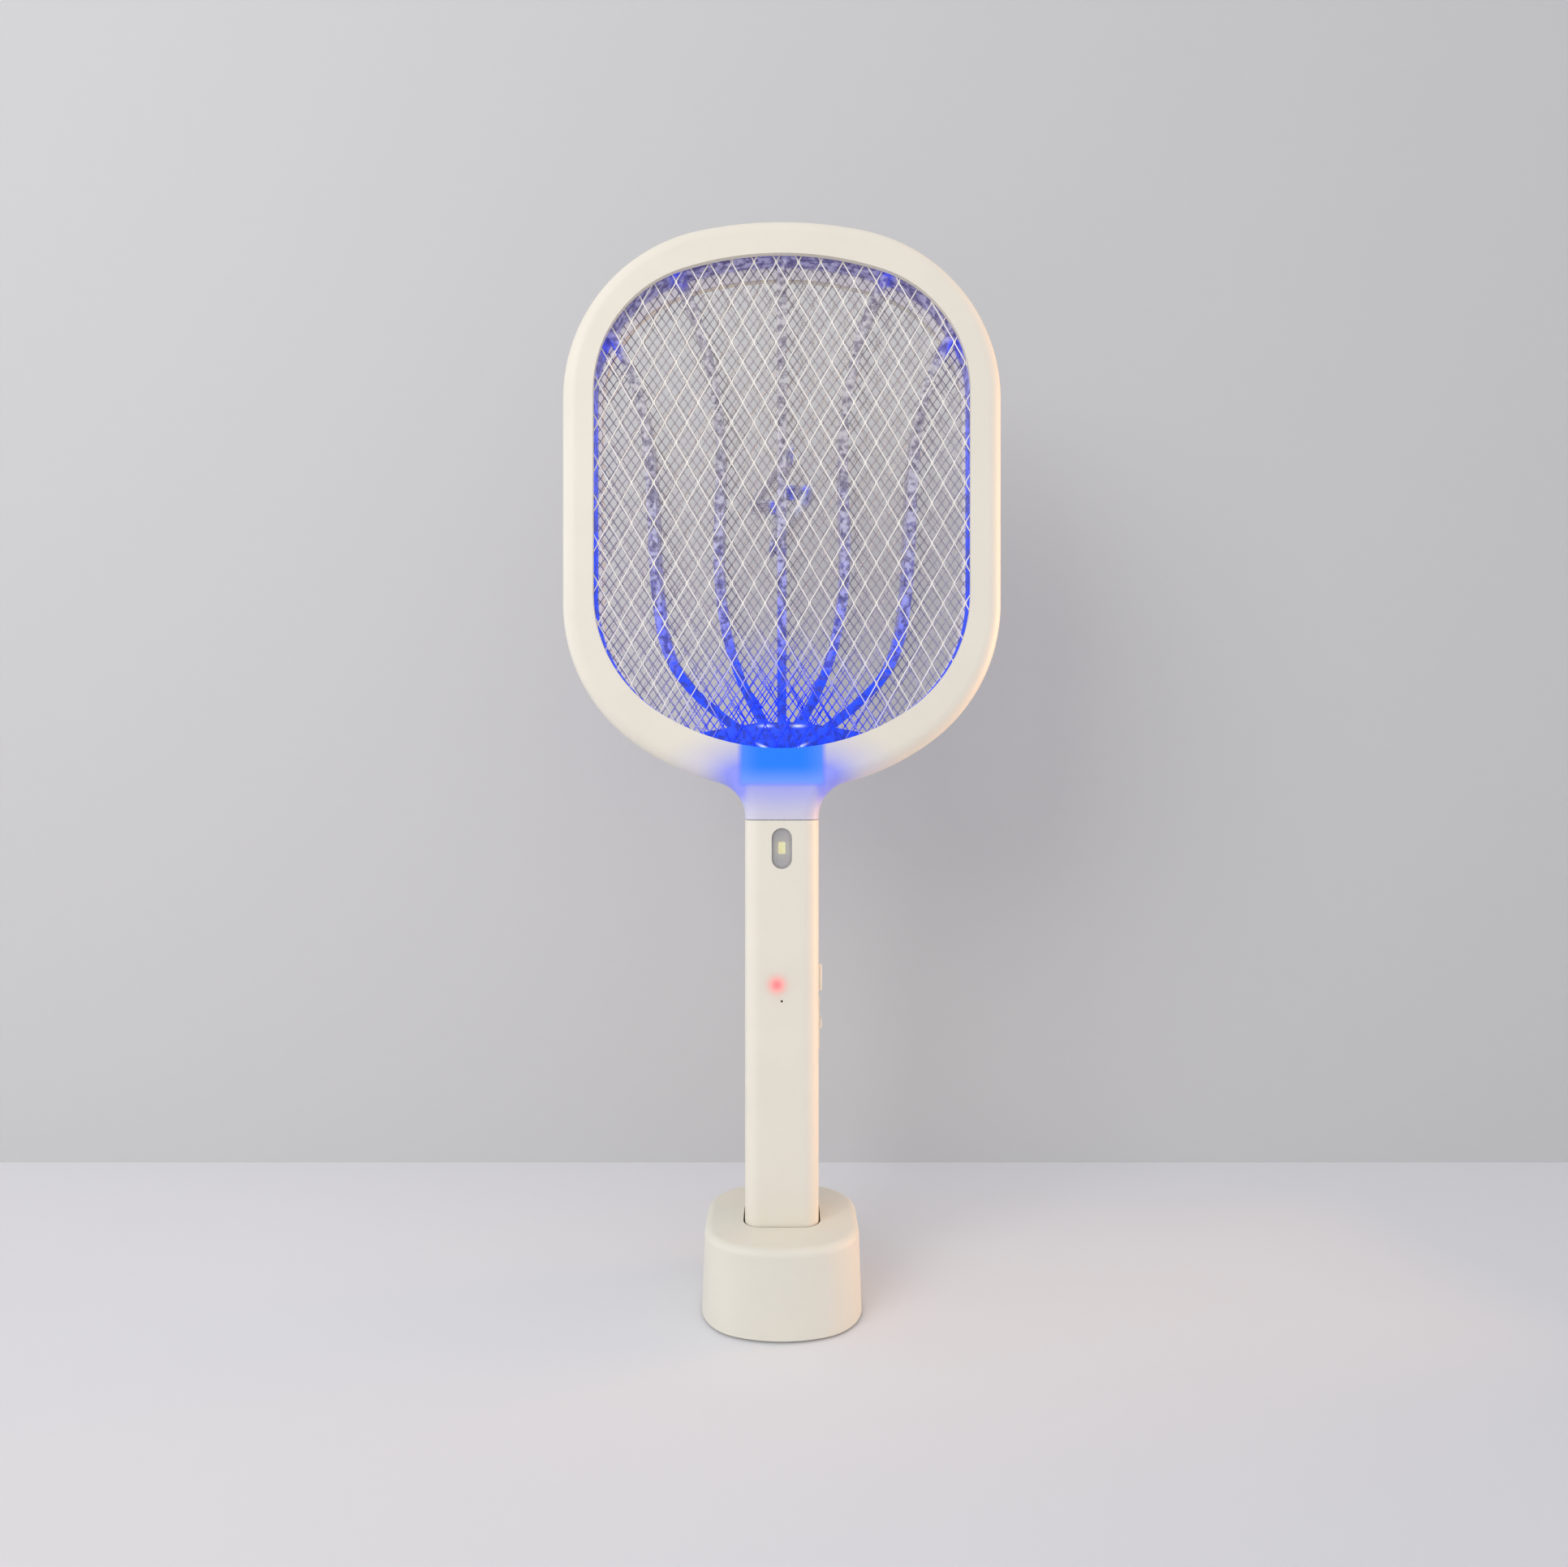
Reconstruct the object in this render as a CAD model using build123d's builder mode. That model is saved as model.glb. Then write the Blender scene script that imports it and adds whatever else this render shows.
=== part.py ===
from build123d import *
import os
from dataclasses import dataclass
from math import asin, pi, sqrt, tan

# Rechargeable electric fly swatter standing in its charging base, in millimetres.
# +Z is up, the swatter faces -Y, and the origin is the middle of the base where it stands.

# Overall sizes
total_height = 499.5
head_width = 202.0
depth = 26.0
handle_width = 34.0
seam_z = 224.4
base_width = 73.0
base_height = 39.3

# Walls, gaps and edge radii
wall = 2.0
seam_gap = 0.3
fit_gap = 0.3
edge_radius = 7.0

# Head frame
head_bottom = 237.6
head_corner = 79.0
head_top_bow = 2.286
head_foot_bow = 7.131
opening_top_corner = 58.0
opening_top_bow = 4.364
opening_foot_corner = 64.0
opening_foot_bow = 6.593
rim_width = 15.0
crown_rim = 17.0
foot_rim = 19.5
neck_flare = 16.3
lip_thickness = 2.5
channel_width = 5.3
channel_wall = 2.0
outer_wall = 2.2
tongue_length = 26.0
tongue_thickness = 1.7

# Meshes and spacers
mesh_thickness = 1.0
mesh_gap = 0.1
guard_cell = (10.0, 17.8)
guard_strand = 0.8
live_cell = (12.3, 17.4)
live_strand = 0.9
tab_x = 12.0
tab_width = 2.6
tab_drop = 4.1
rib_width = 4.2
hub_height = 12.0
hub_top_width = 20.0
hub_foot_width = 76.0
bolt_level = 0.518
bolt_height = 46.0
bolt_width = 27.0
bolt_line = 1.3

# Base
base_corner = 25.0
base_bow = 1.943
base_wall = 2.2
base_draft = 2.0
base_top_round = 3.5
base_lift = 1.2
cover_thickness = 2.2
well_gap = 0.8
well_floor_z = 14.0
well_floor = 2.0
liner_wall = 1.6
seat_gap = 0.2
ballast_thickness = 4.0
ballast_inset = 7.5
foot_radius = 5.0
foot_inset = 15.5
foot_thickness = 2.0
dock_board_z = 5.0
dock_board_width = 24.0
dock_board_front = -8.0
dock_board_inset = 5.0
post_inset = 3.0
post_back_y = 20.0
socket_size = (8.9, 7.2, 3.2)
socket_skin = 0.35

# Charging contacts
contact_spacing = 12.0
carrier_thickness = 3.4
pad_radius = 2.5
pad_thickness = 0.5
pad_recess = 0.9
pin_radius = 0.95
pin_tip_radius = 0.65
pin_shoulder_z = 12.6
pin_foot_z = 9.0
contact_gap = 0.05
barrel_radius = 1.5
barrel_bore = 1.0
barrel_floor = 0.6
barrel_bottom_z = 4.4
barrel_top_z = 13.8
spring_wire = 0.12
spring_turns = 7

# Screws and bosses
screw_shank = 0.85
screw_pilot = 0.9
screw_clearance = 1.05
screw_head = 2.1
screw_head_height = 1.3
screw_pocket = 2.4
screw_length = 13.0
base_screw_length = 7.5
base_screw_inset = 9.5
base_screw_spacing = 18.0
screw_slot = (2.6, 0.5, 0.7)
handle_screw_z = (21.0, 93.6)
upper_screw_z = 203.0
boss_radius = 3.2
head_boss_radius = 2.9
seat_depth = 5.0

# Controls on the right-hand side
button_z = 150.3
button_length = 12.2
button_width = 6.0
button_proud = 1.7
button_round = 1.6
slider_z = 129.0
slider_travel = 2.0
slider_length = 4.4
slider_width = 4.0
slider_proud = 1.6
bezel_length = 23.6
bezel_width = 8.0
bezel_thickness = 0.6
collar_wall = 1.0
collar_round = 1.5
control_gap = 0.2
flange_thickness = 1.0
flange_edge = 1.0
stem_radius = 1.4
switch_depth = 5.5
switch_width = 5.0
push_switch_length = 6.0
slide_switch_length = 12.0
actuator_size = (2.7, 2.6, 3.0)

# Windows and lamps in the front of the handle
window_z = 211.4
window_width = 9.2
window_length = 18.6
lens_recess = 0.6
lens_flange = 1.0
reflector_depth = 2.0
indicator_x = -2.2
indicator_z = 149.3
indicator_radius = 2.2
glow_skin = 0.8
sensor_z = 141.9
sensor_radius = 0.45
lamp_board_rise = 7.4
lamp_board_width = 19.6
lamp_board_depth = 16.0
lamp_count = 5
lamp_spacing = 4.0
lamp_radius = 1.4

# Handle insides
board_thickness = 1.2
board_width = 24.0
board_bottom_z = 97.0
board_top_z = 196.0
board_front_y = 2.0
cell_radius = 9.2
cell_length = 65.0
cell_bottom_z = 25.0
cell_strip = 0.2
lead_radius = 0.5
lead_x = 11.0
lead_bend = 1.6

# Parts on the main board: their sides, depths and heights on it
board_hole_radius = 1.2
transformer_sides = (-10.0, 4.0)
transformer_depth = 11.0
transformer_heights = (168.0, 186.0)
core_width = 3.0
core_relief = 1.0
capacitor_sides = (-9.0, 4.0)
capacitor_depth = 6.0
capacitor_length = 10.5
capacitor_feet = (104.0, 117.0)
diode_x = -8.0
diode_radius = 1.2
diode_length = 5.0
diode_heights = (133.0, 137.0, 141.0, 156.0, 160.0)
indicator_led_width = 3.0
indicator_led_depth = 1.2
light_led_size = (3.2, 0.9, 5.4)

# Worked out from the sizes above
half_depth = depth / 2
inner_half_depth = half_depth - wall
half_width = handle_width / 2
inner_half_width = half_width - wall
handle_bottom_z = well_floor_z + seat_gap
handle_top_z = seam_z - seam_gap / 2
neck_bottom_z = seam_z + seam_gap / 2
cover_top_z = base_lift + cover_thickness
base_ceiling_z = base_height - base_wall
well_half_width = half_width + well_gap
well_half_depth = half_depth + well_gap
pad_z = handle_bottom_z + pad_recess
pin_tip_z = pad_z - contact_gap
spring_foot_z = barrel_bottom_z + barrel_floor
spring_height = pin_foot_z - spring_foot_z - 2 * spring_wire
board_back_y = board_front_y + board_thickness
lead_y = board_front_y - lead_radius - 0.1
nub_slot_size = (slider_width + 2 * control_gap, slider_length + 2 * slider_travel + 2 * control_gap)
collar_size = tuple(size + 2 * collar_wall for size in nub_slot_size)
socket_z = dock_board_z + board_thickness + socket_size[2] / 2
socket_back_y = base_width / 2 - 0.5
post_x = dock_board_width / 2 - post_inset
post_points = [(-post_x, post_back_y), (post_x, post_back_y), (0, dock_board_front + post_inset - 0.5)]
guard_y = half_depth - lip_thickness - mesh_thickness / 2
contact_points = [(x, 0) for x in (-contact_spacing / 2, contact_spacing / 2)]
foot_spread = base_width / 2 - foot_inset
base_screw_x = base_width / 2 - base_screw_inset
base_screw_y = base_screw_spacing / 2
base_screw_points = [(x, y) for x in (-base_screw_x, base_screw_x) for y in (-base_screw_y, base_screw_y)]
dock_board_back = base_width / 2 - dock_board_inset
lamp_board_z = head_bottom + lamp_board_rise
foot_points = [(x, y) for x in (-foot_spread, foot_spread) for y in (-foot_spread, foot_spread)]
upper_screw_x = inner_half_width - fit_gap - tongue_thickness - control_gap - boss_radius
handle_screw_points = [(0, z) for z in handle_screw_z]
handle_screw_points += [(x, upper_screw_z) for x in (-upper_screw_x, upper_screw_x)]

os.makedirs("parts", exist_ok=True)


@dataclass
class Outline:
    """Closed outline with a bowed top and bottom, rounded corners and straight sides."""

    half_width: float
    top: float
    bottom: float
    top_bow: float
    top_corner: float
    bottom_bow: float
    bottom_corner: float

    @classmethod
    def bowed(cls, half_width, top, bottom, top_rise, top_corner, bottom_rise, bottom_corner):
        """Outline whose bows rise this far above the start of each corner."""

        def bow(rise, corner):
            reach = half_width - corner
            return corner + (reach**2 + rise**2) / (2 * rise)

        return cls(
            half_width, top, bottom, bow(top_rise, top_corner), top_corner,
            bow(bottom_rise, bottom_corner), bottom_corner,
        )

    def grown(self, by):
        return Outline(
            self.half_width + by,
            self.top + by,
            self.bottom - by,
            self.top_bow + by,
            self.top_corner + by,
            self.bottom_bow + by,
            self.bottom_corner + by,
        )

    def end(self, way):
        """Where the bow meets the corner, the corner's middle, and where it meets the side."""
        level, bow, corner = (
            (self.top, self.top_bow, self.top_corner)
            if way > 0
            else (self.bottom, self.bottom_bow, self.bottom_corner)
        )
        corner_x = self.half_width - corner
        rise = way * sqrt((bow - corner) ** 2 - corner_x**2)
        bow_centre = Vector(0, level - way * bow)
        corner_centre = bow_centre + Vector(corner_x, rise)
        outward = Vector(corner_x, rise).normalized()
        middle = (outward + Vector(1, 0)).normalized()
        return (
            bow_centre + outward * bow,
            corner_centre + middle * corner,
            corner_centre + Vector(corner, 0),
        )

    def bow_point(self, x, way):
        """Point of the bowed top or bottom at this distance from the middle."""
        level, bow = (self.top, self.top_bow) if way > 0 else (self.bottom, self.bottom_bow)
        return x, level - way * (bow - sqrt(bow**2 - x**2))

    def half_width_at(self, level):
        """Distance from the middle to the outline at this height."""
        for way in (1, -1):
            start, _, side = self.end(way)
            limit, bow, corner = (
                (self.top, self.top_bow, self.top_corner)
                if way > 0
                else (self.bottom, self.bottom_bow, self.bottom_corner)
            )
            if way * (level - limit) >= 0:
                return 0
            if way * (level - start.Y) >= 0:
                return sqrt(bow**2 - (level - limit + way * bow) ** 2)
            if way * (level - side.Y) >= 0:
                return self.half_width - corner + sqrt(corner**2 - (level - side.Y) ** 2)
        return self.half_width

    def edges(self):
        top_start, top_middle, top_side = self.end(1)
        low_start, low_middle, low_side = self.end(-1)

        def left(point):
            return Vector(-point.X, point.Y)

        with BuildLine() as path:
            ThreePointArc(left(low_start), (0, self.bottom), low_start)
            ThreePointArc(low_start, low_middle, low_side)
            Line(low_side, top_side)
            ThreePointArc(top_side, top_middle, top_start)
            ThreePointArc(top_start, (0, self.top), left(top_start))
            ThreePointArc(left(top_start), left(top_middle), left(top_side))
            Line(left(top_side), left(low_side))
            ThreePointArc(left(low_side), left(low_middle), left(low_start))
        return path.edges()


head_outline = Outline.bowed(
    head_width / 2, total_height, head_bottom, head_top_bow, head_corner, head_foot_bow, head_corner
)
opening = Outline.bowed(
    head_width / 2 - rim_width,
    total_height - crown_rim,
    head_bottom + foot_rim,
    opening_top_bow,
    opening_top_corner,
    opening_foot_bow,
    opening_foot_corner,
)
channel = opening.grown(channel_width)
mesh_outline = opening.grown(channel_width - fit_gap)
core_inside = channel.grown(channel_wall)
core_outside = head_outline.grown(-outer_wall)
opening_height = opening.top - opening.bottom
hub_top_z = opening.bottom + hub_height
bolt_z = opening.bottom + bolt_level * opening_height
tab_bottom_z = mesh_outline.bottom - tab_drop
base_outline = Outline.bowed(
    base_width / 2, base_width / 2, -base_width / 2, base_bow, base_corner, base_bow, base_corner
)


neck_slope = asin(half_width / head_outline.bottom_bow)
neck_room = 0.985 * (head_outline.bow_point(half_width, -1)[1] - neck_bottom_z)


def save(part, name):
    part.label = name
    export_step(part, f"parts/{name}.step")


def facing(y):
    """Sketch plane across the swatter at this depth; extrusions from it go forwards."""
    return Plane.XZ.offset(-y)


def span(x, y, z, mode=Mode.ADD):
    """Block between these limits."""
    limits = (x, y, z)
    with Locations(tuple(sum(pair) / 2 for pair in limits)):
        Box(*(max(pair) - min(pair) for pair in limits), mode=mode)


def head_screw_points():
    """Screws round the rim, halfway between the rim's two walls."""
    middle = (core_outside.half_width + core_inside.half_width) / 2
    line = head_outline.grown(middle - head_outline.half_width)
    top = [line.bow_point(x * head_width, 1) for x in (-0.21, 0.21)]
    side = [(x, line.end(way)[2].Y) for x in (-middle, middle) for way in (1, -1)]
    low = [line.bow_point(x * head_width, -1) for x in (-0.22, 0.22)]
    return top + side + low


def screws(places, length, name):
    """Cross-head screws, each with the underside of its head at its place."""
    with BuildPart() as group:
        with Locations(*places):
            Cylinder(screw_head, screw_head_height, align=(Align.CENTER, Align.CENTER, Align.MAX))
            Cylinder(screw_shank, length, align=(Align.CENTER, Align.CENTER, Align.MIN))
        tops = [place * Pos(0, 0, -screw_head_height) for place in places]
        with Locations(*tops, *(top * Rot(0, 0, 90) for top in tops)):
            Box(
                screw_slot[0],
                screw_slot[1],
                2 * screw_slot[2],
                mode=Mode.SUBTRACT,
            )
    save(group.part, name)


# Head frame: rim and neck, made as front and rear halves
def head_frame(side):
    """Half of the head's casing; side is -1 for the front and 1 for the rear."""
    seam_y = side * seam_gap / 2
    outer_y = side * half_depth
    lip_y = side * (half_depth - lip_thickness)
    hollow_y = side * (half_depth - edge_radius)
    back_y = max(seam_y, outer_y)
    pocket_half_width = inner_half_width - 1
    with BuildPart() as frame:
        with BuildSketch(facing(back_y)) as face:
            make_face(head_outline.edges())
            with Locations((0, neck_bottom_z)):
                Rectangle(handle_width, head_bottom - neck_bottom_z + 10, align=(Align.CENTER, Align.MIN))
            notch = face.vertices().filter_by_position(Axis.Y, neck_bottom_z + 5, head_bottom + 9)
            fillet(notch.sort_by(Axis.Y)[:2], min(neck_flare, neck_room * tan((pi / 2 + neck_slope) / 2)))
        extrude(amount=abs(outer_y - seam_y))
        outer_face = frame.faces().sort_by(Axis.Y)[0 if side < 0 else -1]
        fillet(outer_face.edges().filter_by(lambda e: e.center().Z > neck_bottom_z + 0.1), edge_radius)
        with BuildSketch(facing(back_y)):
            make_face(opening.edges())
        extrude(amount=abs(outer_y - seam_y), mode=Mode.SUBTRACT)
        with BuildSketch(facing(max(seam_y, lip_y))):
            make_face(channel.edges())
            with Locations((0, neck_bottom_z)):
                Rectangle(2 * pocket_half_width, 30, align=(Align.CENTER, Align.MIN))
        extrude(amount=abs(lip_y - seam_y), mode=Mode.SUBTRACT)
        with BuildSketch(facing(max(seam_y, hollow_y))):
            make_face(core_outside.edges())
            make_face(core_inside.edges(), mode=Mode.SUBTRACT)
            with Locations((0, head_bottom)):
                Rectangle(handle_width + 8, 50, mode=Mode.SUBTRACT)
            with Locations(*head_screw_points()):
                Circle(head_boss_radius, mode=Mode.SUBTRACT)
        extrude(amount=abs(hollow_y - seam_y), mode=Mode.SUBTRACT)
        for x in (-1, 1):
            span(
                (x * (inner_half_width - fit_gap), x * (inner_half_width - fit_gap - tongue_thickness)),
                (seam_y, side * (half_depth - edge_radius)),
                (seam_z - tongue_length, neck_bottom_z + 6),
            )
        with BuildSketch(facing(back_y)):
            with Locations(*head_screw_points()):
                Circle(screw_pilot if side < 0 else screw_clearance)
        extrude(amount=half_depth - seat_depth if side < 0 else half_depth, mode=Mode.SUBTRACT)
        if side > 0:
            with BuildSketch(facing(half_depth)):
                with Locations(*head_screw_points()):
                    Circle(screw_pocket)
            extrude(amount=seat_depth, mode=Mode.SUBTRACT)
    return frame.part


save(head_frame(-1), "head_front_frame")
save(head_frame(1), "head_rear_frame")
seat_y = half_depth - seat_depth
screws(
    [Location(Plane((x, seat_y, z), z_dir=(0, -1, 0))) for x, z in head_screw_points()],
    screw_length,
    "head_screws",
)


# Meshes: three sheets of diamond mesh, with a tab where each one's lead is soldered
def mesh(name, y, cell, strand, side):
    """Sheet of whole diamonds inside the opening; side is the side that its tab is on."""
    width, height = cell
    half_w, half_h = (width - strand) / 2, (height - strand) / 2
    middle_z = opening.bottom + opening_height / 2
    columns = round(opening.half_width / width * 2) + 1
    rows = round(opening_height / height) + 1
    centres = [
        (column * width / 2, middle_z + row * height / 2)
        for column in range(-columns, columns + 1)
        for row in range(-rows, rows + 1)
        if (column + row) % 2 == 0
    ]
    inside = [
        (x, z)
        for x, z in centres
        if abs(x) + half_w < opening.half_width_at(z)
        and abs(x) < min(opening.half_width_at(z + half_h), opening.half_width_at(z - half_h))
    ]
    with BuildPart() as sheet:
        with BuildSketch(facing(y + mesh_thickness / 2)):
            make_face(mesh_outline.edges())
            with Locations((side * tab_x, tab_bottom_z)):
                Rectangle(tab_width, 10, align=(Align.CENTER, Align.MIN))
            with Locations(*inside):
                Polygon((half_w, 0), (0, half_h), (-half_w, 0), (0, -half_h), mode=Mode.SUBTRACT)
        extrude(amount=mesh_thickness)
    save(sheet.part, name)


mesh("front_guard_mesh", -guard_y, guard_cell, guard_strand, -1)
mesh("live_mesh", 0, live_cell, live_strand, 1)
mesh("rear_guard_mesh", guard_y, guard_cell, guard_strand, -1)


# Spacers: clear rings with ribs that keep the meshes apart and carry the lamp's light
# Each rib's points are shares of the opening's half width and of its height
rib_shares = [
    [(0.06, 0.03), (0.17, 0.10), (0.28, 0.21), (0.34, 0.39), (0.33, 0.63), (0.44, 0.86), (0.60, 1.0)],
    [(0.20, 0.03), (0.40, 0.09), (0.58, 0.17), (0.66, 0.28), (0.70, 0.53), (0.79, 0.75), (0.96, 0.87)],
]
rib_routes = [
    [(x * opening.half_width, opening.bottom + z * opening_height) for x, z in shares]
    for shares in rib_shares
]


def bolt_outline():
    """Plain zig-zag mark, with its point down."""
    shares = [(0.35, 1), (-1, -0.15), (-0.1, -0.15), (-0.35, -1), (1, 0.15), (0.1, 0.15)]
    return [(x * bolt_width / 2, bolt_z + z * bolt_height / 2) for x, z in shares]


def spacer(name, side):
    near = mesh_thickness / 2 + mesh_gap
    far = guard_y - mesh_thickness / 2 - mesh_gap
    foot_x, foot_z = opening.bow_point(hub_foot_width / 2, -1)
    with BuildPart() as piece:
        with BuildSketch(facing(max(side * near, side * far))):
            make_face(mesh_outline.edges())
            make_face(opening.edges(), mode=Mode.SUBTRACT)
            Polygon(
                (foot_x, foot_z),
                (hub_top_width / 2, hub_top_z),
                (-hub_top_width / 2, hub_top_z),
                (-foot_x, foot_z),
                (-foot_x / 2, opening.bottom - 1),
                (foot_x / 2, opening.bottom - 1),
                align=None,
            )
            for route in rib_routes:
                for way in (1, -1):
                    with BuildLine() as rib:
                        Spline(*((way * x, z) for x, z in route))
                    trace(rib.edges(), rib_width)
            with BuildLine() as bolt:
                Polyline(*bolt_outline(), close=True)
            trace(bolt.edges(), bolt_line)
            with Locations((0, hub_top_z - 1)):
                Rectangle(rib_width, opening.top - hub_top_z + 2, align=(Align.CENTER, Align.MIN))
            make_face(mesh_outline.edges(), mode=Mode.INTERSECT)
        extrude(amount=far - near)
    save(piece.part, name)


spacer("front_spacer", -1)
spacer("rear_spacer", 1)


# Neck: lamp that lights the spacers, and the leads to the three meshes
lamp_places = [(lamp_spacing * (n - (lamp_count - 1) / 2), 0) for n in range(lamp_count)]
lamp_board_top_z = lamp_board_z + board_thickness / 2
lamp_top_z = lamp_board_top_z + 2.2

with BuildPart() as lamp_board:
    with BuildSketch(Plane.XY.offset(lamp_board_top_z - board_thickness)):
        RectangleRounded(lamp_board_width, lamp_board_depth, 1)
    extrude(amount=board_thickness)
save(lamp_board.part, "lamp_board")

with BuildPart() as lamp_leds:
    with Locations(*((x, y, lamp_board_top_z) for x, y in lamp_places)):
        Cylinder(lamp_radius, lamp_top_z - lamp_board_top_z, align=(Align.CENTER, Align.CENTER, Align.MIN))
    fillet(lamp_leds.faces().filter_by_position(Axis.Z, lamp_top_z, lamp_top_z).edges(), 0.8 * lamp_radius)
save(lamp_leds.part, "lamp_leds")

with BuildPart() as lamp_lens:
    span(
        (-lamp_board_width / 2, lamp_board_width / 2),
        (-lamp_board_depth / 2, lamp_board_depth / 2),
        (lamp_top_z + fit_gap, mesh_outline.bottom - fit_gap),
    )
    fillet(lamp_lens.edges().filter_by(Axis.Z), 2)
save(lamp_lens.part, "lamp_lens")


def leads(routes, name):
    """Round leads, each along straight runs with rounded corners."""
    with BuildPart() as group:
        for route in routes:
            with BuildLine() as path:
                FilletPolyline(*route, radius=lead_bend) if len(route) > 2 else Line(*route)
            with BuildSketch(Plane(path.line @ 0, z_dir=path.line % 0)):
                Circle(lead_radius)
            sweep(path=path.line)
    save(group.part, name)


lead_foot_z = board_top_z - 8
leads(
    [
        [
            (start_x, lead_y, lead_foot_z),
            (start_x, lead_y, lead_foot_z + 24),
            (end_x, end_y, lamp_board_z - 9),
            (end_x, end_y, tab_bottom_z),
        ]
        for start_x, end_x, end_y in [
            (-5, -tab_x, -guard_y + 0.1),
            (5, tab_x, 0),
            (-3.2, -tab_x, guard_y - 0.1),
        ]
    ],
    "high_voltage_leads",
)
leads(
    [[(x, lead_y, lead_foot_z), (x, lead_y, lamp_board_top_z - board_thickness)] for x in (-1, 1)],
    "lamp_leads",
)


# Handle: front and rear shells joined by screws from the rear
def handle_shell(side):
    """Half of the handle's casing; side is -1 for the front and 1 for the rear."""
    seam_y = side * seam_gap / 2
    outer_y = side * half_depth
    inner_y = side * inner_half_depth
    length = handle_top_z - handle_bottom_z
    with BuildPart() as shell:
        with BuildSketch(Plane.XY.offset(handle_bottom_z)):
            RectangleRounded(handle_width, depth, edge_radius)
            RectangleRounded(
                2 * inner_half_width,
                2 * inner_half_depth,
                edge_radius - wall,
                mode=Mode.SUBTRACT,
            )
            with Locations((0, seam_y)):
                Rectangle(
                    handle_width,
                    half_depth + seam_gap,
                    align=(Align.CENTER, Align.MIN if side < 0 else Align.MAX),
                    mode=Mode.SUBTRACT,
                )
        extrude(amount=length)
        with BuildSketch(facing(max(seam_y, inner_y))):
            with Locations(*handle_screw_points):
                Circle(boss_radius)
        extrude(amount=abs(inner_y - seam_y))
        with BuildSketch(facing(max(seam_y, outer_y))):
            with Locations(*handle_screw_points):
                Circle(screw_pilot if side < 0 else screw_clearance)
        extrude(amount=half_depth - seat_depth if side < 0 else half_depth, mode=Mode.SUBTRACT)
        if side > 0:
            with BuildSketch(facing(half_depth)):
                with Locations(*handle_screw_points):
                    Circle(screw_pocket)
            extrude(amount=seat_depth, mode=Mode.SUBTRACT)
        else:
            with BuildSketch(facing(-inner_half_depth + 1)):
                with Locations((0, window_z)):
                    SlotOverall(window_length, window_width, rotation=90)
                with Locations((0, sensor_z)):
                    Circle(sensor_radius)
            extrude(amount=wall + 2, mode=Mode.SUBTRACT)
            with BuildSketch(facing(-inner_half_depth + 1)):
                with Locations((indicator_x, indicator_z)):
                    Circle(indicator_radius + fit_gap)
            extrude(amount=1 + wall - glow_skin, mode=Mode.SUBTRACT)
        with BuildSketch(Plane.YZ.offset(inner_half_width - 1)):
            with Locations((0, button_z)):
                RectangleRounded(
                    button_width + 2 * control_gap,
                    button_length + 2 * control_gap,
                    button_round,
                )
            with Locations((0, slider_z)):
                RectangleRounded(*(size + 2 * control_gap for size in collar_size), collar_round)
        extrude(amount=wall + 2, mode=Mode.SUBTRACT)
    return shell.part


save(handle_shell(-1), "handle_front_shell")
save(handle_shell(1), "handle_rear_shell")
screws(
    [Location(Plane((x, seat_y, z), z_dir=(0, -1, 0))) for x, z in handle_screw_points],
    screw_length,
    "handle_screws",
)

# Torch window in the front of the handle
lens_back_y = -inner_half_depth + lens_flange
with BuildPart() as light_lens:
    with BuildSketch(facing(-inner_half_depth)):
        with Locations((0, window_z)):
            SlotOverall(window_length - control_gap, window_width - control_gap, rotation=90)
    extrude(amount=wall - lens_recess)
    with BuildSketch(facing(lens_back_y)):
        with Locations((0, window_z)):
            SlotOverall(window_length + 2 * flange_edge, window_width + 2 * flange_edge, rotation=90)
    extrude(amount=lens_flange)
save(light_lens.part, "light_lens")

light_board_y = lens_back_y + reflector_depth
with BuildPart() as light_reflector:
    with BuildSketch(facing(light_board_y)):
        with Locations((0, window_z)):
            SlotOverall(window_length + 2 * flange_edge, window_width + 2 * flange_edge, rotation=90)
            SlotOverall(window_length - 2, window_width - 2, rotation=90, mode=Mode.SUBTRACT)
    extrude(amount=reflector_depth)
save(light_reflector.part, "light_reflector")

with BuildPart() as light_board:
    span(
        (-window_width / 2 - flange_edge, window_width / 2 + flange_edge),
        (light_board_y, light_board_y + board_thickness),
        (window_z - window_length / 2 - flange_edge, window_z + window_length / 2 + flange_edge),
    )
save(light_board.part, "light_board")

led_width, led_depth, led_length = light_led_size
with BuildPart() as light_led:
    span(
        (-led_width / 2, led_width / 2),
        (light_board_y - led_depth, light_board_y),
        (window_z - led_length / 2, window_z + led_length / 2),
    )
    fillet(light_led.edges().filter_by(Axis.Y), 0.4)
save(light_led.part, "light_led")

# Main board with what is soldered to it
with BuildPart() as main_board:
    span((-board_width / 2, board_width / 2), (board_front_y, board_back_y), (board_bottom_z, board_top_z))
    with BuildSketch(facing(board_back_y)):
        with Locations((-board_width / 2 + 3, board_bottom_z + 3), (board_width / 2 - 3, board_top_z - 4)):
            Circle(board_hole_radius)
    extrude(amount=board_thickness, mode=Mode.SUBTRACT)
save(main_board.part, "main_board")

left, right = transformer_sides
foot, top = transformer_heights
transformer_front = board_front_y - transformer_depth
with BuildPart() as transformer:
    span(transformer_sides, (transformer_front + core_relief, board_front_y), transformer_heights)
    span(
        (left + core_width, right - core_width),
        (transformer_front, board_front_y),
        (foot + core_width, top - core_width),
        mode=Mode.SUBTRACT,
    )
    span(
        (left + core_relief, right - core_relief),
        (transformer_front, board_front_y),
        (foot + core_width + 2 * core_relief, top - core_width - 2 * core_relief),
    )
save(transformer.part, "step_up_transformer")

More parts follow.
